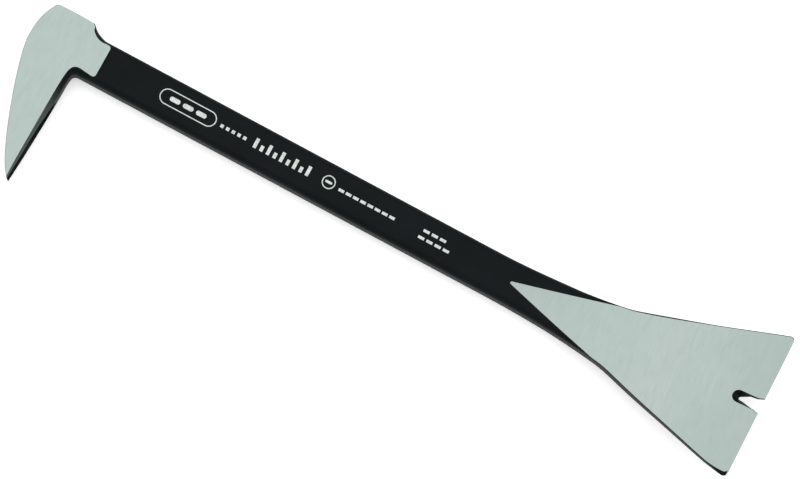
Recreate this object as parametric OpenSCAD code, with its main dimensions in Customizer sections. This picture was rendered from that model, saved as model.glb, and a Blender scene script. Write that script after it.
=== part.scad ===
// Ten-inch claw bar: one forging with a hooked claw head, a flat shank and a flared, bent pry blade.
// The bar lies on its side. X runs from the head to the blade, the claw points along -Y, and +Z is up.
// Everything is drawn about the shank's own axis and is moved to the row's origin by placed().

/* [Bar] */
// Length over everything, from the back of the head to the blade's edge
bar_length = 254; // [250:1:260]
// Width of the shank
shank_width = 13.1; // [12.7:0.1:13.7]
// Thickness of the shank
shank_thickness = 8; // [7.6:0.1:8.4]
// Radius of the shank's four long corners
shank_corner_r = 2; // [1.5:0.1:2.2]

/* [Claw head] */
// Thickness of the head between its two ground sides
head_thickness = 8.8; // [8.6:0.1:9.4]
// Height of the strike face above the shank's axis
strike_height = 10; // [9.8:0.1:10.4]
// Distance from the shank's axis down to the claw's tip
claw_drop = 45.9; // [45.5:0.1:47]
// Distance from the back of the head to the claw's tip, on its outer side
claw_tip_x = 15.6; // [15.3:0.1:15.7]
// Distance from the back of the head to the claw's inner face, at the root
claw_root_x = 17.5; // [17.2:0.1:17.8]
// Radius of the head's rounded back, above the claw
head_back_r = 20.3; // [20:0.1:21]
// Distance from the back of the head to the end of its ground sides
head_end_x = 23.95; // [23.5:0.05:24.5]
// Radius of the inside corner between the claw and the shank
inner_corner_r = 1.7; // [1.5:0.1:2]
// Radius of the hollow between the strike face and the shank
strike_hollow_r = 5.5; // [5:0.1:6]
// Width of the bevel round the hook side of the head
head_bevel_w = 1.7; // [1.4:0.1:1.9]
// Depth of that bevel
head_bevel_h = 1.8; // [1.5:0.1:2]

/* [Pry blade] */
// Width of the blade at its edge, between its straight sides
blade_width = 49; // [47:0.5:51]
// Thickness of the blade at its edge
blade_edge_t = 1.2; // [1:0.1:1.6]
// Where the blade starts to bend upwards
bend_start_x = 174.6; // [172:0.1:177]
// Radius of the bend, along the middle of the blade
bend_r = 205; // [195:1:215]
// Where the blade starts to grow wider than the shank
flare_start_x = 164; // [160:1:167]
// Radius of the flare's hollow sides
flare_r = 255; // [240:1:270]
// Angle of the blade's straight sides to its middle line
side_angle = 17.1; // [16.8:0.1:17.4]
// Where the point of the ground triangle is
ground_apex_x = 167.5; // [166:0.5:169]
// Radius of the blade's two outer corners
blade_corner_r = 1; // [0.8:0.1:1.4]
// Length of the bevel ground under the blade's edge
edge_bevel_l = 7; // [5:0.5:9]

/* [Nail slots] */
// Depth of the blade's slot, from the edge
blade_slot_depth = 9.5; // [9:0.1:10]
// Width of the blade's slot at its upper face
blade_slot_w = 4; // [3.6:0.1:4.4]
// Width of the blade's slot at its mouth, where it opens out
blade_mouth_w = 5; // [4.8:0.1:5.6]
// Height on the claw's inner face where its slot starts, below the shank's axis
claw_slot_top = 16; // [15:0.5:18]
// Width of the claw's slot at the tip
claw_slot_w = 3.4; // [3:0.1:3.8]
// Slant of the claw's slot through the claw
claw_slot_slant = 56; // [50:1:60]

/* [Finish] */
// Thickness of the black coating
coat_t = 0.15; // [0.12:0.01:0.2]
// Thickness of the printed marks
ink_t = 0.06; // [0.05:0.01:0.1]

/* [Hidden] */
$fn = 64;

steel_colour = [0.72, 0.76, 0.75];
coat_colour = [0.10, 0.12, 0.13];
ink_colour = [0.82, 0.86, 0.84];

beyond = 20;             // how far a cutter runs past what it cuts
half_w = shank_width / 2;
half_t = shank_thickness / 2;
head_t = head_thickness / 2;
half_blade = blade_width / 2;

// The head's back: a short straight length between the upper arc and the claw's curve
back_top_y = -1.2;
back_low_y = -3.7;
back_handle = 7.7;       // length of the curve's upper handle
tip_handle = 4.8;        // length of its handle at the tip
tip_angle = 67;          // angle of the curve at the tip, from the Y axis
claw_end_x = 16;         // where the inner face reaches the tip
strike_left_x = 3.4;     // the strike face's two ends
strike_right_x = 16.6;

// The bend: two arcs that meet the shank tangentially and leave the edge thickness at the end
bend_l = bar_length - bend_start_x;
bend_rise = bend_r - sqrt(bend_r * bend_r - bend_l * bend_l);
lower_rise = bend_rise + half_t - blade_edge_t / 2;
upper_rise = bend_rise - half_t + blade_edge_t / 2;
lower_r = (bend_l * bend_l + lower_rise * lower_rise) / (2 * lower_rise);
upper_r = (bend_l * bend_l + upper_rise * upper_rise) / (2 * upper_rise);

// Where the blade's straight sides would meet, where they start, and where the ground triangle reaches them
apex_x = bar_length - half_blade / tan(side_angle);
meet_x = 210;
ground_meet_x = 206;

// Centre of the blade's rounded corner, which touches the straight side and the edge
corner_x = bar_length - blade_corner_r;
corner_y = (corner_x - apex_x) * tan(side_angle) - blade_corner_r / cos(side_angle);

// Where the row's origin is, from the bar's own axis: the middle of the box, at its base
origin = [bar_length / 2, (corner_y + blade_corner_r - claw_drop) / 2, -head_t];

function arc_points(c, r, from, to, steps = 12) =
    [for (i = [0:steps]) let (a = from + (to - from) * i / steps) c + r * [cos(a), sin(a)]];

function bezier_points(a, b, c, d, steps = 24) =
    [for (i = [0:steps]) let (t = i / steps, u = 1 - t)
        u * u * u * a + 3 * u * u * t * b + 3 * u * t * t * c + t * t * t * d];

// Half-width of the flare, where it is still hollow-sided
function flare_half(x) =
    let (l = max(0, x - flare_start_x)) half_w + flare_r - sqrt(flare_r * flare_r - l * l);

module placed() {
    translate(-origin) children();
}

// A long bar with rounded corners, along X
module rounded_length(x0, x1, w, t, r) {
    translate([x0, 0, 0])
        rotate([90, 0, 90])
            linear_extrude(x1 - x0)
                union() {
                    square([w - 2 * r, t], center = true);
                    square([w, t - 2 * r], center = true);
                    for (sx = [-1, 1], sy = [-1, 1])
                        translate([sx * (w / 2 - r), sy * (t / 2 - r)]) circle(r);
                }
}

// Angle of the head's upper arc, up to the strike face's first corner
function back_arc() = asin((strike_height - 0.4 - back_top_y) / head_back_r);

// Lean of the claw's inner face towards the tip
function claw_lean() = atan((claw_root_x - claw_end_x) / (claw_drop - half_w));

function strike_hollow_centre() = [head_end_x - 2, half_w + strike_hollow_r];

// Centre of the inside corner's radius, which touches the claw's inner face and the shank
function inner_corner_centre() =
    [claw_root_x + inner_corner_r * (1 - sin(claw_lean())) / cos(claw_lean()), -half_w - inner_corner_r];

function on_circle(centre, r, angle) = centre + r * [cos(angle), sin(angle)];

// Outline of the head; skin moves only the faces that carry the coating
module head_outline(skin) {
    difference() {
        polygon(concat(
            [[head_end_x, half_w + skin], [head_end_x, -half_w - skin],
             [claw_root_x + skin, -half_w - skin], [claw_end_x + skin, -claw_drop]],
            bezier_points(
                [claw_tip_x, -claw_drop],
                [claw_tip_x - tip_handle * sin(tip_angle), -claw_drop + tip_handle * cos(tip_angle)],
                [0, back_low_y - back_handle], [0, back_low_y]),
            arc_points([head_back_r, back_top_y], head_back_r, 180, 180 - back_arc()),
            [[strike_left_x, strike_height], [strike_right_x, strike_height - 0.2],
             [strike_hollow_centre()[0], half_w + skin]]
        ));
        // The hollow between the strike face and the shank
        translate(strike_hollow_centre()) circle(strike_hollow_r - skin);
    }
}

// The web that fills the inside corner out to its radius
module inner_corner(skin) {
    centre = inner_corner_centre();
    difference() {
        polygon([[claw_root_x - 1, -half_w + 1], on_circle(centre, inner_corner_r, 90),
                 centre, on_circle(centre, inner_corner_r, 180 - claw_lean())]);
        translate(centre) circle(inner_corner_r - skin);
    }
}

// Section of the cutter for a bevel, drawn from the wall inwards; side is 1 or -1
function bevel_section(wall, side) =
    [[wall - side * 0.5, 0.5], [wall + side * (head_bevel_w + 0.5), 0.5], [wall + side * head_bevel_w, 0],
     [wall, -head_bevel_h], [wall - side * 0.5, -head_bevel_h]];

// Bevel along a line in the plan, with the steel on the line's right
module bevel_along(from, to) {
    run = to - from;
    translate([from[0], from[1], head_t])
        rotate([0, 0, atan2(run[1], run[0])])
            rotate([90, 0, 90])
                linear_extrude(norm(run)) polygon(bevel_section(0, -1));
}

// The same bevel round a hollow corner
module bevel_round(centre, r, from, to) {
    translate([centre[0], centre[1], head_t])
        rotate([0, 0, from])
            rotate_extrude(angle = to - from) polygon(bevel_section(r, 1));
}

// Bevels on one side of the head: along the neck, round the corner and down the claw's inner face
module head_bevels() {
    corner = inner_corner_centre();
    corner_end = on_circle(corner, inner_corner_r, 180 - claw_lean());
    bevel_along([head_end_x + 1, -half_w], on_circle(corner, inner_corner_r, 90));
    bevel_round(corner, inner_corner_r, 90, 180 - claw_lean());
    bevel_along(corner_end, corner_end + 2 * claw_drop * [-sin(claw_lean()), -cos(claw_lean())]);
}

// Tapered slot down the middle of the claw, open at the tip
module claw_slot() {
    slot_l = claw_drop;
    taper = claw_slot_w / 2 / (claw_drop - claw_slot_top);
    translate([claw_root_x, -claw_slot_top, 0])
        rotate([0, 0, claw_slot_slant])
            rotate([90, 0, 90])
                linear_extrude(2 * claw_drop, center = true)
                    polygon([[0, 0], [-slot_l, -slot_l * taper], [-slot_l, slot_l * taper]]);
}

module head_body() {
    difference() {
        linear_extrude(head_thickness, center = true)
            union() {
                head_outline(0);
                inner_corner(0);
            }
        for (side = [0, 1]) mirror([0, 0, side]) head_bevels();
        claw_slot();
    }
}

// The side of the head that faces the hook and the shank: the only side that stays black
module black_side_of_head() {
    margin = 0.05;
    polygon([[head_end_x - margin, half_w + 1], [strike_right_x + 0.8, strike_height - 0.8],
             [claw_root_x / 2, 5], [claw_tip_x - 1, -claw_drop + 0.6],
             [claw_tip_x + 1, -claw_drop + 0.6], [claw_root_x + 1, -half_w - inner_corner_r - 1],
             [head_end_x - margin, -half_w - 1]]);
}

// Coating on the upright walls of that side, between the two bevels
module head_coating() {
    difference() {
        linear_extrude(head_thickness - 2 * head_bevel_h, center = true)
            difference() {
                intersection() {
                    union() {
                        head_outline(coat_t);
                        inner_corner(coat_t);
                    }
                    black_side_of_head();
                }
                head_outline(0);
                inner_corner(0);
            }
        claw_slot();
    }
}

// Plan of the blade: hollow-sided flare, then straight sides, then rounded corners at the edge
module blade_outline(skin, from_x) {
    upper = concat(
        [for (i = [0:8]) let (x = from_x + (meet_x - from_x) * i / 8) [x, flare_half(x) + skin]],
        arc_points([corner_x, corner_y + skin], blade_corner_r, 90 + side_angle, 0, 5));
    lower = [for (i = [len(upper) - 1:-1:0]) [upper[i][0], -upper[i][1]]];
    polygon(concat(upper, lower));
}

// Side view of the blade, between its two arcs
module blade_profile(skin, from_x) {
    difference() {
        intersection() {
            translate([from_x, -half_t - skin])
                square([bar_length - from_x, bend_rise + shank_thickness + 2 * skin]);
            union() {
                translate([from_x, -half_t - skin])
                    square([bend_start_x - from_x, shank_thickness + 2 * skin]);
                translate([bend_start_x, lower_r - half_t]) circle(lower_r + skin, $fn = 360);
            }
        }
        intersection() {
            translate([bend_start_x, upper_r + half_t]) circle(upper_r - skin, $fn = 360);
            translate([bend_start_x, 0]) square([2 * bend_l, 4 * bend_l]);
        }
        translate([from_x - 1, half_t + skin]) square([bend_start_x - from_x + 1, 4 * bend_l]);
    }
}

// Slot in the blade's edge: round-ended, opening out over its last two millimetres
module blade_slot(skin) {
    r = blade_slot_w / 2 - skin;
    end_x = bar_length - blade_slot_depth + blade_slot_w / 2;
    linear_extrude(4 * beyond, center = true)
        union() {
            translate([end_x, 0]) circle(r);
            translate([end_x, -r]) square([beyond, 2 * r]);
            polygon([[bar_length - 2, -r], [bar_length + 1, -blade_mouth_w / 2 - 0.2],
                     [bar_length + 1, blade_mouth_w / 2 + 0.2], [bar_length - 2, r]]);
        }
}

module blade_body(skin) {
    from_x = flare_start_x - 2;
    difference() {
        intersection() {
            translate([0, 0, -half_t - 1])
                linear_extrude(bend_rise + shank_thickness + 2) blade_outline(skin, from_x);
            rotate([90, 0, 0])
                linear_extrude(blade_width + 4, center = true) blade_profile(skin, from_x);
        }
        blade_slot(skin);
    }
}

// The shank and the blade, or with a skin the envelope of their coating
module shank_and_blade(skin, from_x) {
    union() {
        rounded_length(from_x, flare_start_x, shank_width + 2 * skin,
                       shank_thickness + 2 * skin, shank_corner_r + skin);
        blade_body(skin);
    }
}

// Everything that is ground bright after coating: the blade's upper triangle and its edge
module ground_zones() {
    slack = 0.05;
    end_x = bar_length + 1;
    end_y = (end_x - apex_x) * tan(side_angle) - slack;
    meets = [for (x = [ground_meet_x, meet_x]) [x, flare_half(x) - slack]];
    // Upper face of the blade, from a point on the shank to the edge
    intersection() {
        linear_extrude(4 * beyond)
            polygon([[ground_apex_x, 0], meets[0], meets[1], [end_x, end_y],
                     [end_x, -end_y], [meets[1][0], -meets[1][1]], [meets[0][0], -meets[0][1]]]);
        rotate([90, 0, 0])
            linear_extrude(blade_width + 4, center = true)
                translate([bend_start_x, bend_r]) circle(bend_r, $fn = 360);
    }
    // The blade's edge, and the bevel under it
    translate([bar_length - edge_bevel_l, -half_blade - 1, -half_t - 1])
        cube([edge_bevel_l + 1, blade_width + 2, bend_rise + shank_thickness + 2]);
}

module forged_bar() {
    color(steel_colour) placed()
        union() {
            head_body();
            shank_and_blade(0, claw_root_x);
        }
}

module black_coating() {
    color(coat_colour) placed() {
        head_coating();
        difference() {
            shank_and_blade(coat_t, head_end_x);
            shank_and_blade(0, claw_root_x);
            ground_zones();
        }
    }
}

// A flat printed shape on top of the coating
module printed(pos) {
    color(ink_colour) placed()
        translate([pos[0], pos[1], half_t + coat_t]) linear_extrude(ink_t) children();
}

// A bar with round ends, drawn from its middle
module pill(l, w) {
    square([l - w, w], center = true);
    for (s = [-1, 1]) translate([s * (l - w) / 2, 0]) circle(w / 2);
}

// Plain oval border round a row of three short bars
module printed_badge() {
    border_l = 19.6;
    border_w = 5.2;
    line_w = 0.32;
    printed([54.4, 0.2]) {
        difference() {
            pill(border_l, border_w);
            pill(border_l - 2 * line_w, border_w - 2 * line_w);
        }
        for (i = [-1:1]) translate([i * 4.6, 0]) pill(3.6, 1.5);
    }
}

// Row of short strokes
module printed_item_mark() {
    for (i = [0:4]) printed([66.4 + i * 2, 0.1]) square([1.1, 1.1], center = true);
}

// Bold scale of upright strokes, long and short in turn
module printed_size_mark() {
    count = 9;
    for (i = [0:count - 1]) {
        tall = i % 2 == 0 ? 3.3 : 1.9;
        printed([78.3 + i * 2.3, -1.2 + tall / 2]) square([1.1, tall], center = true);
    }
}

// Ring with a bar across its middle
module printed_safety_symbol() {
    printed([103.9, 0.4])
        union() {
            difference() {
                circle(2.2);
                circle(1.85);
            }
            pill(2.4, 0.8);
        }
}

// Long fine row of dashes
module printed_safety_line() {
    for (i = [0:7]) printed([108.6 + i * 2.55, -0.1]) square([1.9, 0.9], center = true);
}

// Two short rows, one above the other
module printed_register_lines() {
    for (row = [0, 1], i = [0:2 + row])
        printed([138 + row * -0.6 + i * 2.9, 1.2 - row * 2.5]) square([2.1, 0.9], center = true);
}

forged_bar();
black_coating();
printed_badge();
printed_item_mark();
printed_size_mark();
printed_safety_symbol();
printed_safety_line();
printed_register_lines();
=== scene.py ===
"""A ten-inch claw bar: ground steel, black coating and pale printed marks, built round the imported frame.

Lengths are in millimetres along the bar's own axes: x from the back of the head to the blade's edge, y across
(the claw points to -y) and z up from the middle of the shank. place() turns them into the frame's metres.
"""

import math

import bmesh
import bpy
from mathutils import Matrix, Vector


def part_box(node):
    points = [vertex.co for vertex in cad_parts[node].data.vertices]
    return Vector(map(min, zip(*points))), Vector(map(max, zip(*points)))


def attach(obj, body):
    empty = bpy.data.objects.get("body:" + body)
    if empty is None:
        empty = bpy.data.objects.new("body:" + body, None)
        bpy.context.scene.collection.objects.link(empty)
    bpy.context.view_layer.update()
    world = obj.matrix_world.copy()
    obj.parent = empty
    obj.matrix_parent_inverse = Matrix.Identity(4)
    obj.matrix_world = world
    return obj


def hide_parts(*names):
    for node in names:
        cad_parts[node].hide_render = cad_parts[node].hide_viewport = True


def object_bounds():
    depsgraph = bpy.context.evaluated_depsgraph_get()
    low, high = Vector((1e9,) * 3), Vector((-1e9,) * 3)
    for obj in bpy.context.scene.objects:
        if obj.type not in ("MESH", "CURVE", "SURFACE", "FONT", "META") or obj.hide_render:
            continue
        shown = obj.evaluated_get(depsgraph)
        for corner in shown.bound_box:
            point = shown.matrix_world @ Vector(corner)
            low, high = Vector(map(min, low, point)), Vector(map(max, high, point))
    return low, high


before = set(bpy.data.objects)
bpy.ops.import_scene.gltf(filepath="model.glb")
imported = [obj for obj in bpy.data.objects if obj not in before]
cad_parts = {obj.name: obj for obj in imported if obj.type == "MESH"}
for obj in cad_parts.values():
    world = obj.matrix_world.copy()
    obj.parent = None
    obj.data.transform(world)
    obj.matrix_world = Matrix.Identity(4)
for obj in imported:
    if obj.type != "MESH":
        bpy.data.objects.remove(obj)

cad_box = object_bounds()

# ---------------------------------------------------------------- sizes

MM = 0.001
bar_low, bar_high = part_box("forged_bar")
bar_length = (bar_high.x - bar_low.x) / MM

# The camera looks along the bar's upper face, tipped towards the claw's side
camera_tilt = math.radians(10.8)
camera_roll = math.radians(28.18)
camera_distance = 1000.0
camera_aim = (131.85, -4.15, 0.0)
camera_lens = 144.18      # on a sensor 36 mm wide
camera_sensor = 36.0
camera_far = 20.0         # metres

# Head
claw_drop = 45.9
head_half = 4.4          # half the thickness between the two ground sides
neck_wall, claw_wall, rim_wall = 1.6, 3.0, 3.9      # half-height of the upright wall, below the rounding
shoulder_wall = 3.4      # the same, where the strike face ends
corner_wall = 2.2        # the same, in the corner of the hook
wall_change = 0.25       # how much of a stretch the wall takes to reach its new height
rim_inset = 0.26         # width of the worn rim round the ground sides
land_slope = 62.0        # how far round the quarter turn the ground side cuts the rounding, in degrees
claw_tip = (15.85, -45.75)
land_tip = (15.55, -45.5)
back_low = (0.0, -3.7)
back_radius = 20.3
back_centre_y = -1.2
back_top_y = 9.3         # where the back meets the strike face
strike_end = (16.2, 9.7)
neck_end = 25.2          # the neck's end at mid-height, inside the shank
land_end = 24.4          # where the ground side ends, and its two rounded corners
land_corner_radius = 1.0
land_corner_x = 23.4
land_corner_high, land_corner_low = 4.62, -4.46
hook_radius = 1.7        # rounding in the corner of the hook
hook_centre_x = 19.2
hidden_gap = 0.02        # the neck lies this far inside the shank's own sides

# Shank
half_width = 6.7
shank_drift = -0.12       # how far the shank's middle line lies off the head's
half_thick = 4.0
corner_radius = 2.0
shank_start = 12.0       # buried in the head
shank_joint = 24.6

# Blade
bend_start = 174.6
bend_radius = 205.0
edge_thick = 1.2
flare_start = 165.0
flare_radius = 285.0
flare_soft = 0.35        # how gently the flare turns into the straight sides
side_angle = math.radians(17.1)
side_hollow = 0.17       # how far the straight sides are dished
half_blade = 24.45
blade_corner_radius = 1.3
ground_apex_x = 166.95   # where the ground triangle's sides would meet
ground_angle = math.radians(14.87)
ground_meet_x = 206.0    # where it reaches the blade's sides
ground_drift = -0.2      # how far the triangle's middle line lies off the blade's
drift_end, drift_fade = 205.0, 10.0
tip_radius = 0.5         # rounding at the point of the ground triangle
bevel_start = 246.5
bevel_thick = 0.55       # what the bevel leaves at the edge
blade_thick = 3.1        # thickness of the blade where the bevel starts
taper_start, taper_ease, taper_power = 170.0, 0.12, 1.3
low_side_extra = 0.62    # how much further the blade reaches on the claw's side, and from where to where
low_side_span = (185.0, 268.0)
low_side_spread = 0.6    # below 1, it keeps its width over more of that length
upper_side_extra = 0.38  # how much wider the start of the flare is on the other side
upper_side_span = (160.0, 205.0)
hollow_span = (215.0, 248.0)
edge_lip = 0.06          # the coated lip beside the ground face, once it reaches the sides
upper_lip = 0.26         # what the grinding leaves beside the first part of the upper side
upper_lip_span = (200.0, 232.0)
patch_start = 245.5      # the lower corner, which the grinding missed
patch_width = 1.5
wedge_fall = 0.05        # how the black shoulders fall away from the ground face
wedge_ease = 12.0        # over how much length that begins
under_radius = 0.3       # rounding of the blade's lower edges
under_ease = 50.0        # over how much length the shank's rounding falls to that
edge_face = 0.35         # width of the bare steel at the very edge

# Slots
slot_end = 244.6         # closed end of the blade's slot, at the upper face
slot_half = 2.0
slot_low_end, slot_low_half = 247.3, 0.45           # the same, at the lower face
slot_mouth = 1.8         # length over which the slot opens out at the edge
claw_slot_keel = 4.0     # where the slot's sloping walls meet, inside the claw
claw_slot_drift = 0.25   # how far the slot lies off the claw's middle
claw_slot_rim = [        # (y, half-width on the hook side)
    (-17.35, 0.05), (-17.42, 0.7), (-17.65, 1.3), (-18.1, 1.95), (-18.8, 2.55), (-19.8, 2.95), (-21.5, 3.25),
    (-24.0, 3.35), (-28.0, 3.65), (-33.0, 3.82), (-38.0, 3.75), (-50.0, 3.6)]

coat_thick = 0.15
flush_lip = 0.02         # how far the film stands above a ground face that it meets
film_fade = 30.0         # over how much length from the triangle's point it sinks to that
film_inset = 0.01        # how far inside the CAD's box it stays
sharp_angle = 24         # faces that meet more sharply than this, in degrees, keep their edge

# ---------------------------------------------------------------- colours

steel_tones = [(0.287, 0.339, 0.319, 1), (0.298, 0.350, 0.331, 1), (0.308, 0.357, 0.341, 1)]
coat_tones = [(0.0030, 0.0050, 0.0055, 1), (0.0048, 0.0072, 0.0080, 1)]
# painted highlight: a lighter grey laid on the claw's inner edges, standing in for the light caught there
claw_highlight_colour = (0.055, 0.068, 0.064, 1)
dust_colour = (0.30, 0.33, 0.31, 1)
ink_tones = [(0.42, 0.47, 0.44, 1), (0.62, 0.68, 0.64, 1)]
stroke_turn = math.radians(17)      # how the grinding strokes lean from straight across the bar

bend_length = bar_length - bend_start
bend_rise = bend_radius - math.sqrt(bend_radius ** 2 - bend_length ** 2)
apex_x = bar_length - half_blade / math.tan(side_angle)
tip_centre_x = ground_apex_x + tip_radius / math.sin(ground_angle)
tip_x = tip_centre_x - tip_radius
tangent_x = tip_centre_x - tip_radius * math.sin(ground_angle)
corner_x = bar_length - blade_corner_radius
corner_y = (corner_x - apex_x) * math.tan(side_angle) - blade_corner_radius / math.cos(side_angle)

GROUND, COATED = 0, 1


def place(x, y, z):
    """A point of the bar, in the frame."""
    return Vector((bar_low.x + x * MM, bar_low.y + (y + claw_drop) * MM, bar_low.z + (z + head_half) * MM))


# ---------------------------------------------------------------- curves

def resample(points, count):
    """count + 1 points at equal steps along a line."""
    lengths = [0.0]
    for a, b in zip(points, points[1:]):
        lengths.append(lengths[-1] + math.dist(a, b))
    result = []
    j = 0
    for i in range(count + 1):
        target = lengths[-1] * i / count
        while j < len(points) - 2 and lengths[j + 1] < target:
            j += 1
        span = lengths[j + 1] - lengths[j]
        t = 0.0 if span == 0 else (target - lengths[j]) / span
        result.append(tuple(p + (q - p) * t for p, q in zip(points[j], points[j + 1])))
    return result


def catmull_rom(a, b, c, d, t):
    """One coordinate of the curve from b to c, a share t of the way along."""
    bend = 2 * a - 5 * b + 4 * c - d
    twist = 3 * b - a - 3 * c + d
    return 0.5 * (2 * b + (c - a) * t + bend * t * t + twist * t ** 3)


def smooth_line(points, steps=14):
    """A Catmull-Rom curve through a few points."""
    padded = [points[0]] + list(points) + [points[-1]]
    result = []
    for i in range(1, len(padded) - 2):
        p0, p1, p2, p3 = padded[i - 1:i + 3]
        for s in range(steps):
            t = s / steps
            result.append(tuple(catmull_rom(*values, t) for values in zip(p0, p1, p2, p3)))
    result.append(tuple(points[-1]))
    return result


def bezier(a, b, c, d, steps=60):
    """Points on the curve from a to d that leaves towards b and comes in from c."""
    result = []
    for i in range(steps + 1):
        t = i / steps
        u = 1 - t
        result.append(tuple(
            u ** 3 * p + 3 * u * u * t * q + 3 * u * t * t * r + t ** 3 * s
            for p, q, r, s in zip(a, b, c, d)))
    return result


def arc(centre, radius, start, end, steps=20):
    """Points on a circle from start to end, in degrees."""
    result = []
    for i in range(steps + 1):
        angle = math.radians(start + (end - start) * i / steps)
        result.append((centre[0] + radius * math.cos(angle), centre[1] + radius * math.sin(angle)))
    return result


# ---------------------------------------------------------------- mesh helpers

def new_object(name, bm):
    mesh = bpy.data.meshes.new(name)
    bm.to_mesh(mesh)
    bm.free()
    obj = bpy.data.objects.new(name, mesh)
    bpy.context.scene.collection.objects.link(obj)
    return obj


def apply_modifiers(obj):
    """Puts the result of the object's modifiers in its mesh."""
    bpy.context.view_layer.update()
    evaluated = obj.evaluated_get(bpy.context.evaluated_depsgraph_get())
    mesh = bpy.data.meshes.new_from_object(evaluated)
    old = obj.data
    obj.modifiers.clear()
    obj.data = mesh
    bpy.data.meshes.remove(old)


def combine(obj, other, operation):
    """Boolean of two closed meshes; other is used up."""
    modifier = obj.modifiers.new("combine", "BOOLEAN")
    modifier.operation = operation
    modifier.solver = "MANIFOLD"
    modifier.object = other
    apply_modifiers(obj)
    bpy.data.objects.remove(other)


def drop_flaps(obj):
    """Takes away flaps of no thickness: triangles that lie back to back on the same three corners."""
    bm = bmesh.new()
    bm.from_mesh(obj.data)
    bmesh.ops.triangulate(bm, faces=bm.faces)
    corners = {}
    for face in bm.faces:
        corners.setdefault(frozenset(face.verts), []).append(face)
    flaps = [face for faces in corners.values() if len(faces) > 1 for face in faces]
    bmesh.ops.delete(bm, geom=flaps, context="FACES")
    bm.to_mesh(obj.data)
    bm.free()


def shade_by_angle(obj, degrees):
    """Smooth shading, with an edge wherever two faces meet more sharply than that."""
    bm = bmesh.new()
    bm.from_mesh(obj.data)
    limit = math.radians(degrees)
    for face in bm.faces:
        face.smooth = True
    for edge in bm.edges:
        sharp = len(edge.link_faces) != 2 or edge.calc_face_angle(0.0) > limit
        if len(edge.link_faces) == 2:
            sharp = sharp or edge.link_faces[0].material_index != edge.link_faces[1].material_index
        edge.smooth = not sharp
    bm.to_mesh(obj.data)
    bm.free()


def loft(rings, tags, cap_tags):
    """A closed mesh through rings of equal counts.

    tags(ring, step) gives a side face's material, and cap_tags gives the two ends'.
    """
    bm = bmesh.new()
    verts = [[bm.verts.new(place(*p)) for p in ring] for ring in rings]
    count = len(rings[0])
    for i in range(len(rings) - 1):
        for j in range(count):
            k = (j + 1) % count
            face = bm.faces.new((verts[i][j], verts[i][k], verts[i + 1][k], verts[i + 1][j]))
            face.material_index = tags(i, j)
    for ring, tag in ((verts[0][::-1], cap_tags[0]), (verts[-1], cap_tags[1])):
        face = bm.faces.new(ring)
        face.material_index = tag
    bmesh.ops.remove_doubles(bm, verts=bm.verts, dist=1e-7)
    bmesh.ops.dissolve_degenerate(bm, edges=bm.edges, dist=1e-7)
    bmesh.ops.recalc_face_normals(bm, faces=bm.faces)
    return bm


# ---------------------------------------------------------------- the head

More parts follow.
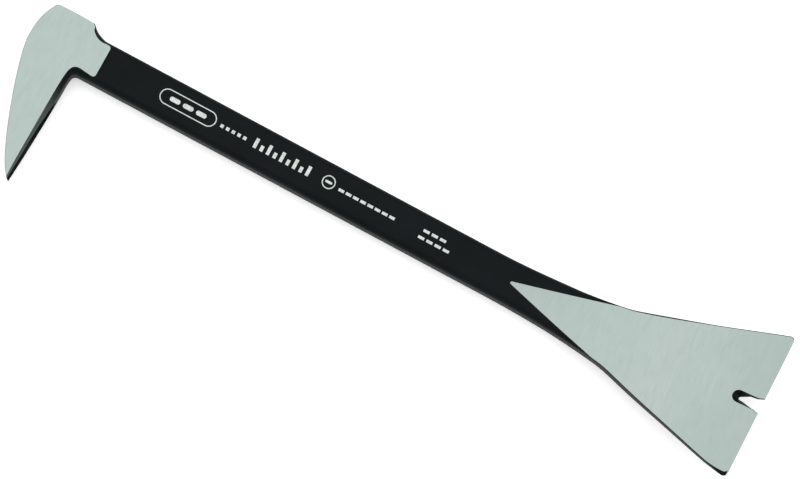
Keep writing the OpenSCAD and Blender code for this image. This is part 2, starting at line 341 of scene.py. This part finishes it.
def head_outlines():
    """The head's outlines at mid-height and on its ground side, with each step's finish and wall.

    A stretch pairs the two outlines, so that a step of one lies beside the same step of the other.
    """
    side = half_width + shank_drift - hidden_gap
    low_side = -half_width + shank_drift + hidden_gap
    hook_centre = (hook_centre_x, low_side - 1.8)
    back_angle = math.degrees(math.asin((back_top_y - back_centre_y) / back_radius))

    # The back, from the claw's tip up to the strike face
    back = bezier(claw_tip, (claw_tip[0] - 4.3, claw_tip[1] + 1.84), (0.15, back_low[1] - 7.7), back_low)
    back += arc((back_radius, back_centre_y), back_radius, 180, 180 - back_angle)
    back_top = back[-1]
    land_top = (back_top[0] + 0.2, back_top[1] - 0.2)
    land_back = [land_tip] + [(x + rim_inset, y) for x, y in back[3:-1]] + [land_top]

    # The strike face, then the hollow down to the neck
    strike = smooth_line(
        [back_top, (3.75, 9.78), (6.2, 9.97), (9.5, 10.0), (13.2, 9.95), (15.4, 9.84), strike_end])
    land_strike = smooth_line(
        [land_top, (3.85, 9.55), (6.2, 9.74), (9.5, 9.77), (13.0, 9.72), (15.3, 9.63), (16.05, 9.55)])
    hollow = smooth_line([strike_end, (17.05, 8.95), (18.4, 7.95), (20.0, 7.2), (21.95, side)])
    land_hollow = smooth_line(
        [(16.05, 9.66), (16.8, 8.85), (17.2, 7.7), (18.3, 6.6), (19.9, 5.75), (21.6, 5.48)])

    # The neck's two sides and its end, which lies inside the shank
    neck_high = [(21.95, side), (neck_end, side)]
    land_high = smooth_line([(21.6, 5.5), (22.6, 5.6), (land_corner_x, 5.62)])
    turn_high = [(neck_end, side), (neck_end, side - 0.6)]
    land_turn_high = arc((land_corner_x, land_corner_high), land_corner_radius, 90, 0)
    neck_face = [(neck_end, side - 0.6), (neck_end, low_side + 0.6)]
    land_face = [(land_end, land_corner_high), (land_end, land_corner_low)]
    turn_low = [(neck_end, low_side + 0.6), (neck_end, low_side)]
    land_turn_low = arc((land_corner_x, land_corner_low), land_corner_radius, 0, -90)
    neck_low = [(neck_end, low_side), (hook_centre_x, hook_centre[1] + hook_radius)]
    land_low = smooth_line([(land_corner_x, -5.46), (22.0, -5.32), (20.3, -5.12)])

    # The corner of the hook, then the claw's inner side down to its tip
    corner = arc(hook_centre, hook_radius, 90, 178)
    land_corner = smooth_line(
        [(20.3, -5.12), (18.9, -4.98), (17.75, -5.2), (16.85, -5.85), (16.25, -7.0), (15.95, -8.6)])
    inner = smooth_line(
        [(17.5, low_side - 1.75), (17.28, -10.5), (17.2, -14.6), (17.05, -20.0), (16.87, -25.6),
         (16.7, -31.0), (16.45, -36.6), (16.17, -41.0), claw_tip])
    land_inner = smooth_line(
        [(15.95, -8.6), (15.8, -10.5), (15.62, -15.0), (15.55, -22.0), (15.47, -32.0), (15.42, -40.0),
         land_tip])

    stretches = [
        # (at mid-height, on the ground side, steps, finish, half-height of the wall at the start and the end)
        (back, land_back, 90, GROUND, rim_wall, rim_wall),
        (strike, land_strike, 44, GROUND, rim_wall, shoulder_wall),
        (hollow, land_hollow, 36, COATED, shoulder_wall, neck_wall),
        (neck_high, land_high, 8, COATED, neck_wall, neck_wall),
        (turn_high, land_turn_high, 10, COATED, neck_wall, neck_wall),
        (neck_face, land_face, 12, COATED, neck_wall, neck_wall),
        (turn_low, land_turn_low, 10, COATED, neck_wall, neck_wall),
        (neck_low, land_low, 10, COATED, neck_wall, neck_wall),
        (corner, land_corner, 30, COATED, neck_wall, corner_wall),
        (inner, land_inner, 80, COATED, corner_wall, claw_wall),
    ]
    middle, land, finish, walls = [], [], [], []
    for outer, face_line, steps, tag, first_wall, last_wall in stretches:
        middle += resample(outer, steps)[:-1]
        land += resample(face_line, steps)[:-1]
        finish += [tag] * steps
        for i in range(steps):
            share = min(1.0, i / steps / wall_change)
            walls.append(first_wall + (last_wall - first_wall) * share)
    return middle, land, finish, walls


def head_mesh():
    """The head, lofted through levels that round the upright wall over to each ground side."""
    middle, land, finish, walls = head_outlines()
    rounding_steps = 9
    limit = math.radians(land_slope)
    profile = []                       # (how far from the wall towards the ground side, how far up)
    for k in range(rounding_steps + 1):
        turn = limit * k / rounding_steps
        profile.append(((1 - math.cos(turn)) / (1 - math.cos(limit)), math.sin(turn) / math.sin(limit)))
    rings = []
    for sign, levels in ((-1, profile[::-1]), (1, profile)):
        for share, rise in levels:
            ring = []
            for m, n, wall in zip(middle, land, walls):
                z = sign * (wall + (head_half - wall) * rise)
                ring.append((m[0] + (n[0] - m[0]) * share, m[1] + (n[1] - m[1]) * share, z))
            rings.append(ring)
    return loft(rings, lambda i, j: finish[j], (GROUND, GROUND))


def claw_slot_mesh():
    """The slot down the claw: a wedge whose walls slope in from the hook side to a keel inside the claw."""
    wide_x, face_x = 22.0, 17.1        # outside the claw, and its inner face
    keel_rise, keel_slope = 3.0, 2.2   # how the keel sinks into the claw from the slot's closed end
    rings = []
    for y, rim in claw_slot_rim:
        half = rim * (wide_x - claw_slot_keel) / (face_x - claw_slot_keel)
        keel_x = max(claw_slot_keel, face_x - keel_rise - keel_slope * (claw_slot_rim[0][0] - y))
        shift = claw_slot_drift * min(1.0, half)
        rings.append([(wide_x, y, half + shift), (wide_x, y, -half + shift), (keel_x, y, shift)])
    return loft(rings, lambda i, j: COATED, (COATED, COATED))


# ---------------------------------------------------------------- the shank and the blade

def arc_rise(x, radius):
    """How far a bend of this radius has risen at x."""
    run = max(0.0, x - bend_start)
    return radius - math.sqrt(radius * radius - run * run)


def arc_radius(rise):
    """Radius of the bend that rises this much by the blade's edge."""
    return (bend_length ** 2 + rise ** 2) / (2 * rise)


upper_radius = arc_radius(bend_rise - half_thick + edge_thick / 2)


def bump(x, start, end):
    """A smooth rise and fall between start and end."""
    if not start < x < end:
        return 0.0
    return math.sin(math.pi * (x - start) / (end - start)) ** 2


def blade_half(x):
    """Half-width of the bar at x: shank, hollow flare, straight sides, rounded corner."""
    run = max(0.0, x - flare_start)
    hollow = half_width + flare_radius - math.sqrt(flare_radius ** 2 - run * run)
    straight = (x - apex_x) * math.tan(side_angle)
    if x > corner_x - blade_corner_radius * math.sin(side_angle):
        return corner_y + math.sqrt(max(0.0, blade_corner_radius ** 2 - (x - corner_x) ** 2))
    dished = side_hollow * bump(x, *hollow_span)
    return 0.5 * (hollow + straight + math.sqrt((hollow - straight) ** 2 + flare_soft ** 2)) - dished


def upper_z(x):
    """Height of the upper face at x."""
    return half_thick + arc_rise(x, upper_radius)


def thickness(x):
    """Thickness of the bar at x, which falls off quickly at first, then more slowly up to the bevel."""
    if x > bevel_start:
        t = (x - bevel_start) / (bar_length - bevel_start)
        return blade_thick + (bevel_thick - blade_thick) * t
    u = max(0.0, (x - taper_start) / (bevel_start - taper_start))
    eased = (1 + taper_ease) * u * u / (u + taper_ease) if u > 0 else 0.0
    return blade_thick + (2 * half_thick - blade_thick) * (1 - eased) ** taper_power


def lower_z(x):
    """Height of the lower face at x."""
    return upper_z(x) - thickness(x)


ground_steps, shoulder_steps, round_steps, under_steps = 6, 4, 8, 5      # steps along half a section


def ground_half(x):
    """Half-width of the ground triangle at x."""
    if x <= tip_x:
        return 0.0
    if x < tangent_x:
        return math.sqrt(tip_radius ** 2 - (tip_centre_x - x) ** 2)
    if x > ground_meet_x:
        return half_blade
    return (x - ground_apex_x) * math.tan(ground_angle)


def section(x, side):
    """Half a cross-section at x, from the middle of the upper face round to the middle of the lower one."""
    half = blade_half(x)
    if side < 0:
        half += low_side_extra * bump(x, *low_side_span) ** low_side_spread
    else:
        half += upper_side_extra * bump(x, *upper_side_span)
    reach = half - edge_lip
    if side > 0:
        reach -= upper_lip * bump(x, *upper_lip_span)
    if side < 0 and x > patch_start:
        reach -= patch_width * ((x - patch_start) / (bar_length - patch_start)) ** 2
    middle = side * ground_drift * max(0.0, 1 - max(0.0, x - drift_end) / drift_fade)
    ground_y = min(middle + ground_half(x), reach)
    top, low = upper_z(x), lower_z(x)
    top_r = corner_radius
    if x >= tip_x:
        top_r = min(corner_radius, max(edge_lip, 0.9 * (half - ground_y)))
    flared = min(1.0, max(0.0, (x - flare_start) / under_ease))
    low_r = corner_radius + (under_radius - corner_radius) * flared
    top_r = min(top_r, 0.5 * (top - low))
    low_r = min(low_r, 0.4 * (top - low))
    fade = min(1.0, max(0.0, (x - tip_x) / wedge_ease))
    points = [(middle + (ground_y - middle) * i / ground_steps, top) for i in range(ground_steps + 1)]
    flat_y = half - top_r
    fall = wedge_fall * fade * (flat_y - ground_y)
    for i in range(1, shoulder_steps + 1):
        t = i / shoulder_steps
        points.append((ground_y + (flat_y - ground_y) * t, top - fall * t))
    for i in range(1, round_steps + 1):
        a = math.radians(90 * i / round_steps)
        points.append((flat_y + top_r * math.sin(a), top - fall - top_r * (1 - math.cos(a))))
    for i in range(round_steps + 1):
        a = math.radians(90 * i / round_steps)
        points.append((half - low_r * (1 - math.cos(a)), low + low_r * (1 - math.sin(a))))
    for i in range(1, under_steps + 1):
        points.append(((half - low_r) * (1 - i / under_steps), low))
    return points


def shank_mesh():
    """The shank and the blade, lofted through sections: few along the shank, close together on the blade."""
    stations = [shank_start + 4 * i for i in range(38)]
    fine = [162 + i * 0.75 for i in range(120)]
    stations += [x for x in fine if x < corner_x - 0.4]
    stations += [bevel_start] + [tip_x + (tangent_x - tip_x) * (i / 8) ** 2 for i in range(9)]
    lean = math.degrees(side_angle)
    stations += [corner_x + blade_corner_radius * math.sin(math.radians(a))
                 for a in [-lean + (90 + lean) * i / 8 for i in range(9)]]
    stations = sorted(set(round(s, 4) for s in stations))
    rings = []
    for x in stations:
        right = section(x, 1)
        left = [(-y, z) for y, z in reversed(section(x, -1)[1:-1])]
        rings.append([(x, y + shank_drift, z) for y, z in right + left])
    count = len(rings[0])
    half_count = len(section(stations[0], 1)) - 1

    def tags(i, j):
        step = j if j < half_count else count - 1 - j
        middle_x = (stations[i] + stations[i + 1]) / 2
        if step < ground_steps and middle_x > tip_x:
            return GROUND
        if middle_x > bar_length - edge_face:
            return GROUND
        if middle_x > bevel_start and step >= half_count - under_steps:
            return GROUND
        return COATED

    return loft(rings, tags, (GROUND, GROUND))


def blade_slot_mesh():
    """The blade's slot: round-ended at the upper face, a narrow V at the lower one, wider at its mouth."""
    past = bar_length + 3              # outside the blade, where the mouth's widening lines are drawn to
    mouth = bar_length - slot_mouth
    upper = resample(arc((slot_end + slot_half, 0.0), slot_half, 90, 270, 24), 24)
    upper = [(past, 3.6), (mouth, slot_half + 0.05)] + upper + [(mouth, -slot_half - 0.05), (past, -3.6)]
    lower = resample(arc((slot_low_end + slot_low_half, 0.0), slot_low_half, 105, 255, 24), 24)
    lower = [(past, 3.5), (mouth, 1.8)] + lower + [(mouth, -1.8), (past, -3.5)]
    rings = []
    for level in (-0.6, 0.0, 1.0, 1.6):
        ring = []
        for low, up in zip(lower, upper):
            x = low[0] + (up[0] - low[0]) * level
            y = low[1] + (up[1] - low[1]) * level
            z = upper_z(min(x, bar_length)) - blade_thick * (1 - level)
            ring.append((x, y, z))
        rings.append(ring)
    return loft(rings, lambda i, j: COATED, (COATED, COATED))


# ---------------------------------------------------------------- pieces

steel = new_object("steel_forging", head_mesh())
combine(steel, new_object("shank_stock", shank_mesh()), "UNION")
combine(steel, new_object("claw_slot", claw_slot_mesh()), "DIFFERENCE")
combine(steel, new_object("blade_slot", blade_slot_mesh()), "DIFFERENCE")
drop_flaps(steel)


def coating_from(obj):
    """A closed skin over every coated face of obj."""
    bm = bmesh.new()
    bm.from_mesh(obj.data)
    bare = [f for f in bm.faces if f.material_index != COATED]
    bmesh.ops.delete(bm, geom=bare, context="FACES")
    for face in bm.faces:
        face.material_index = 0
    skin = new_object("black_coating_film", bm)
    modifier = skin.modifiers.new("film", "SOLIDIFY")
    modifier.thickness = coat_thick * MM
    modifier.offset = 1.0
    modifier.use_even_offset = False
    modifier.use_rim = True
    apply_modifiers(skin)
    low, high = cad_box
    inside = film_inset * MM
    for vertex in skin.data.vertices:
        co = vertex.co
        x, z = (co.x - bar_low.x) / MM, (co.z - bar_low.z) / MM - head_half
        if x < shank_joint:
            z = max(-head_half + flush_lip, min(head_half - flush_lip, z))
        elif x > tip_x:
            fade = max(0.0, 1 - (x - tip_x) / film_fade)
            z = min(z, upper_z(min(x, bar_length)) + max(flush_lip, coat_thick * fade))
        co.z = bar_low.z + (z + head_half) * MM
        for axis in range(3):
            co[axis] = max(low[axis] + inside, min(high[axis] - inside, co[axis]))
    drop_flaps(skin)
    return skin


coating = coating_from(steel)
shade_by_angle(steel, sharp_angle)
shade_by_angle(coating, sharp_angle)

# ---------------------------------------------------------------- materials


def material(name):
    """A new material, with its nodes, its links and its one shader."""
    made = bpy.data.materials.new(name)
    made.use_nodes = True
    nodes = made.node_tree.nodes
    nodes.clear()
    output = nodes.new("ShaderNodeOutputMaterial")
    shader = nodes.new("ShaderNodeBsdfPrincipled")
    made.node_tree.links.new(shader.outputs["BSDF"], output.inputs["Surface"])
    return made, nodes, made.node_tree.links, shader


def add(nodes, kind, **values):
    """A new node. Each value sets the input of that name, or else the node's own property."""
    node = nodes.new(kind)
    for key, value in values.items():
        if key in node.inputs:
            node.inputs[key].default_value = value
        else:
            setattr(node, key, value)
    return node


def stretched_noise(nodes, links, scale_xyz, detail, turn=0.0, **values):
    """Noise in the object's own coordinates, stretched along one axis."""
    place_node = add(nodes, "ShaderNodeTexCoord")
    mapping = nodes.new("ShaderNodeMapping")
    mapping.inputs["Scale"].default_value = scale_xyz
    mapping.inputs["Rotation"].default_value = (0, 0, turn)
    links.new(place_node.outputs["Object"], mapping.inputs["Vector"])
    noise_node = add(nodes, "ShaderNodeTexNoise", Scale=1.0, Detail=detail, **values)
    links.new(mapping.outputs["Vector"], noise_node.inputs["Vector"])
    return noise_node


def ramp(nodes, links, source, stops):
    """A colour ramp over source, through (position, colour) stops."""
    node = nodes.new("ShaderNodeValToRGB")
    node.color_ramp.elements[0].position, node.color_ramp.elements[0].color = stops[0]
    node.color_ramp.elements[1].position, node.color_ramp.elements[1].color = stops[-1]
    for position, colour in stops[1:-1]:
        node.color_ramp.elements.new(position).color = colour
    links.new(source, node.inputs["Fac"])
    return node


def grey(value):
    return (value, value, value, 1.0)


def ground_steel():
    """Bright steel, with fine grinding strokes across the bar and slow changes of tone."""
    made, nodes, links, shader = material("ground_steel")
    broad = stretched_noise(nodes, links, (34, 40, 40), 3.0)
    colour = ramp(nodes, links, broad.outputs["Fac"], list(zip((0.3, 0.5, 0.7), steel_tones)))
    strokes = stretched_noise(nodes, links, (2600, 210, 400), 3.0, turn=stroke_turn)
    tone = ramp(nodes, links, strokes.outputs["Fac"],
                [(0.28, grey(0.90)), (0.5, grey(1.0)), (0.75, grey(1.05))])
    mixed = add(nodes, "ShaderNodeMix", data_type="RGBA", blend_type="MULTIPLY")
    mixed.inputs["Factor"].default_value = 0.45
    links.new(colour.outputs["Color"], mixed.inputs["A"])
    links.new(tone.outputs["Color"], mixed.inputs["B"])
    links.new(mixed.outputs["Result"], shader.inputs["Base Color"])
    rough = ramp(nodes, links, strokes.outputs["Fac"], [(0.3, grey(0.44)), (0.7, grey(0.52))])
    links.new(rough.outputs["Color"], shader.inputs["Roughness"])
    bump = add(nodes, "ShaderNodeBump", Strength=0.05, Distance=0.0001)
    links.new(strokes.outputs["Fac"], bump.inputs["Height"])
    links.new(bump.outputs["Normal"], shader.inputs["Normal"])
    shader.inputs["Metallic"].default_value = 0.85
    return made


def between(nodes, links, source, start, end):
    """0 at start, 1 at end, smooth between them."""
    node = add(nodes, "ShaderNodeMapRange", interpolation_type="SMOOTHSTEP")
    node.inputs["From Min"].default_value = start
    node.inputs["From Max"].default_value = end
    links.new(source, node.inputs["Value"])
    return node.outputs["Result"]


def product(nodes, links, first, *others):
    for other in others:
        node = add(nodes, "ShaderNodeMath", operation="MULTIPLY")
        links.new(first, node.inputs[0])
        links.new(other, node.inputs[1])
        first = node.outputs["Value"]
    return first


def painted_claw_highlight(nodes, links):
    """Where the coating gets a painted highlight: only on the long edges of the claw's inner face, more
    towards the tip.
    """
    where = add(nodes, "ShaderNodeTexCoord")
    split = add(nodes, "ShaderNodeSeparateXYZ")
    links.new(where.outputs["Object"], split.inputs["Vector"])
    level = add(nodes, "ShaderNodeMath", operation="SUBTRACT")
    links.new(split.outputs["Z"], level.inputs[0])
    level.inputs[1].default_value = bar_low.z + head_half * MM
    height = add(nodes, "ShaderNodeMath", operation="ABSOLUTE")
    links.new(level.outputs["Value"], height.inputs[0])
    corner, root, tip = place(19.0, -8.0, 0), place(17.0, -10.0, 0), place(16.0, -26.0, 0)
    return product(nodes, links,
                   between(nodes, links, height.outputs["Value"], 3.0 * MM, 3.6 * MM),
                   between(nodes, links, split.outputs["X"], corner.x + MM, corner.x - MM),
                   between(nodes, links, split.outputs["Y"], root.y, tip.y))


def black_coat():
    """Black film with a fine grain, a little dust, and a painted highlight along the claw's inner edges."""
    made, nodes, links, shader = material("black_coating")
    broad = stretched_noise(nodes, links, (60, 60, 60), 3.0)
    colour = ramp(nodes, links, broad.outputs["Fac"], list(zip((0.3, 0.7), coat_tones)))
    specks = add(nodes, "ShaderNodeTexVoronoi", Scale=420.0)
    where = add(nodes, "ShaderNodeTexCoord")
    links.new(where.outputs["Object"], specks.inputs["Vector"])
    dust = ramp(nodes, links, specks.outputs["Distance"], [(0.02, grey(1.0)), (0.07, grey(0.0))])
    patchy = stretched_noise(nodes, links, (170, 170, 170), 2.0)
    gate = ramp(nodes, links, patchy.outputs["Fac"], [(0.60, grey(0.0)), (0.72, grey(0.16))])
    amount = add(nodes, "ShaderNodeMath", operation="MULTIPLY")
    links.new(dust.outputs["Color"], amount.inputs[0])
    links.new(gate.outputs["Color"], amount.inputs[1])
    mixed = add(nodes, "ShaderNodeMix", data_type="RGBA")
    links.new(amount.outputs["Value"], mixed.inputs["Factor"])
    links.new(colour.outputs["Color"], mixed.inputs["A"])
    mixed.inputs["B"].default_value = dust_colour
    # painted highlight on the claw's inner edges, mixed over the coating's own colour
    highlighted = add(nodes, "ShaderNodeMix", data_type="RGBA")
    links.new(painted_claw_highlight(nodes, links), highlighted.inputs["Factor"])
    links.new(mixed.outputs["Result"], highlighted.inputs["A"])
    highlighted.inputs["B"].default_value = claw_highlight_colour
    links.new(highlighted.outputs["Result"], shader.inputs["Base Color"])
    fine = stretched_noise(nodes, links, (1500, 1500, 1500), 3.0)
    rough = ramp(nodes, links, fine.outputs["Fac"], [(0.3, grey(0.42)), (0.7, grey(0.54))])
    links.new(rough.outputs["Color"], shader.inputs["Roughness"])
    bump = add(nodes, "ShaderNodeBump", Strength=0.10, Distance=0.0001)
    links.new(fine.outputs["Fac"], bump.inputs["Height"])
    links.new(bump.outputs["Normal"], shader.inputs["Normal"])
    shader.inputs["Specular IOR Level"].default_value = 0.05
    return made


def pale_ink():
    """Matt pale ink with small uneven patches."""
    made, nodes, links, shader = material("pale_ink")
    patches = stretched_noise(nodes, links, (1800, 1800, 1800), 3.0)
    colour = ramp(nodes, links, patches.outputs["Fac"], list(zip((0.3, 0.6), ink_tones)))
    links.new(colour.outputs["Color"], shader.inputs["Base Color"])
    shader.inputs["Roughness"].default_value = 0.6
    return made


steel_look, coat_look, ink_look = ground_steel(), black_coat(), pale_ink()


def dress(obj, look):
    """Gives obj this one material."""
    obj.data.materials.clear()
    obj.data.materials.append(look)
    for polygon in obj.data.polygons:
        polygon.material_index = 0


dress(steel, steel_look)
dress(coating, coat_look)
for piece, node, slot in ((steel, "forged_bar", "ground_steel"), (coating, "black_coating", "black_coating")):
    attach(piece, "root")
    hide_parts(node)
for name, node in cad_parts.items():
    if name.startswith("printed_"):
        node.data.materials.clear()
        node.data.materials.append(ink_look)

# ---------------------------------------------------------------- stage, light and camera


def stage_floor():
    """A plain pale floor just under the bar."""
    bm = bmesh.new()
    bmesh.ops.create_grid(bm, x_segments=1, y_segments=1, size=4.0)
    floor = new_object("floor", bm)
    floor.location = (0, 0, bar_low.z - 0.0001)
    made, nodes, links, shader = material("pale_floor")
    shader.inputs["Base Color"].default_value = (0.85, 0.85, 0.85, 1)
    shader.inputs["Roughness"].default_value = 0.9
    shader.inputs["Specular IOR Level"].default_value = 0.1
    shader.inputs["Emission Color"].default_value = (1, 1, 1, 1)
    shader.inputs["Emission Strength"].default_value = 0.4
    floor.data.materials.append(made)


def area_light(name, position, aim, size, power):
    """A soft rectangular light at position that faces aim."""
    light = bpy.data.lights.new(name, "AREA")
    light.shape = "RECTANGLE"
    light.size, light.size_y = size
    light.energy = power
    obj = bpy.data.objects.new(name, light)
    bpy.context.scene.collection.objects.link(obj)
    obj.location = position
    obj.rotation_euler = (Vector(aim) - Vector(position)).to_track_quat("-Z", "Y").to_euler()


def make_camera():
    """A long lens that looks down on the bar's upper face, tipped and rolled."""
    tilt_c, tilt_s = math.cos(camera_tilt), math.sin(camera_tilt)
    along = Vector((1, 0, 0))
    across = Vector((0, -tilt_c, -tilt_s))
    towards = Vector((0, -tilt_s, tilt_c))
    roll_c, roll_s = math.cos(camera_roll), math.sin(camera_roll)
    right = along * roll_c - across * roll_s
    up = -along * roll_s - across * roll_c
    camera = bpy.data.cameras.new("camera")
    camera.sensor_width = camera_sensor
    camera.lens = camera_lens
    camera.clip_end = camera_far
    obj = bpy.data.objects.new("camera", camera)
    bpy.context.scene.collection.objects.link(obj)
    place_at = place(*camera_aim) + towards * camera_distance * MM
    obj.matrix_world = Matrix.Translation(place_at) @ Matrix((right, up, towards)).transposed().to_4x4()
    bpy.context.scene.camera = obj


make_camera()
stage_floor()
world = bpy.data.worlds.new("studio")
world.use_nodes = True
world.node_tree.nodes["Background"].inputs["Color"].default_value = (1.0, 1.0, 1.0, 1)
world.node_tree.nodes["Background"].inputs["Strength"].default_value = 0.85
bpy.context.scene.world = world
area_light("key", position=(-0.25, 0.3, 1.4), aim=(0, 0, 0), size=(1.2, 1.2), power=8)
area_light("side", position=(0.9, 0.1, 0.22), aim=(-0.11, 0, 0), size=(0.5, 0.3), power=1.2)
bpy.context.scene.view_settings.view_transform = "Standard"
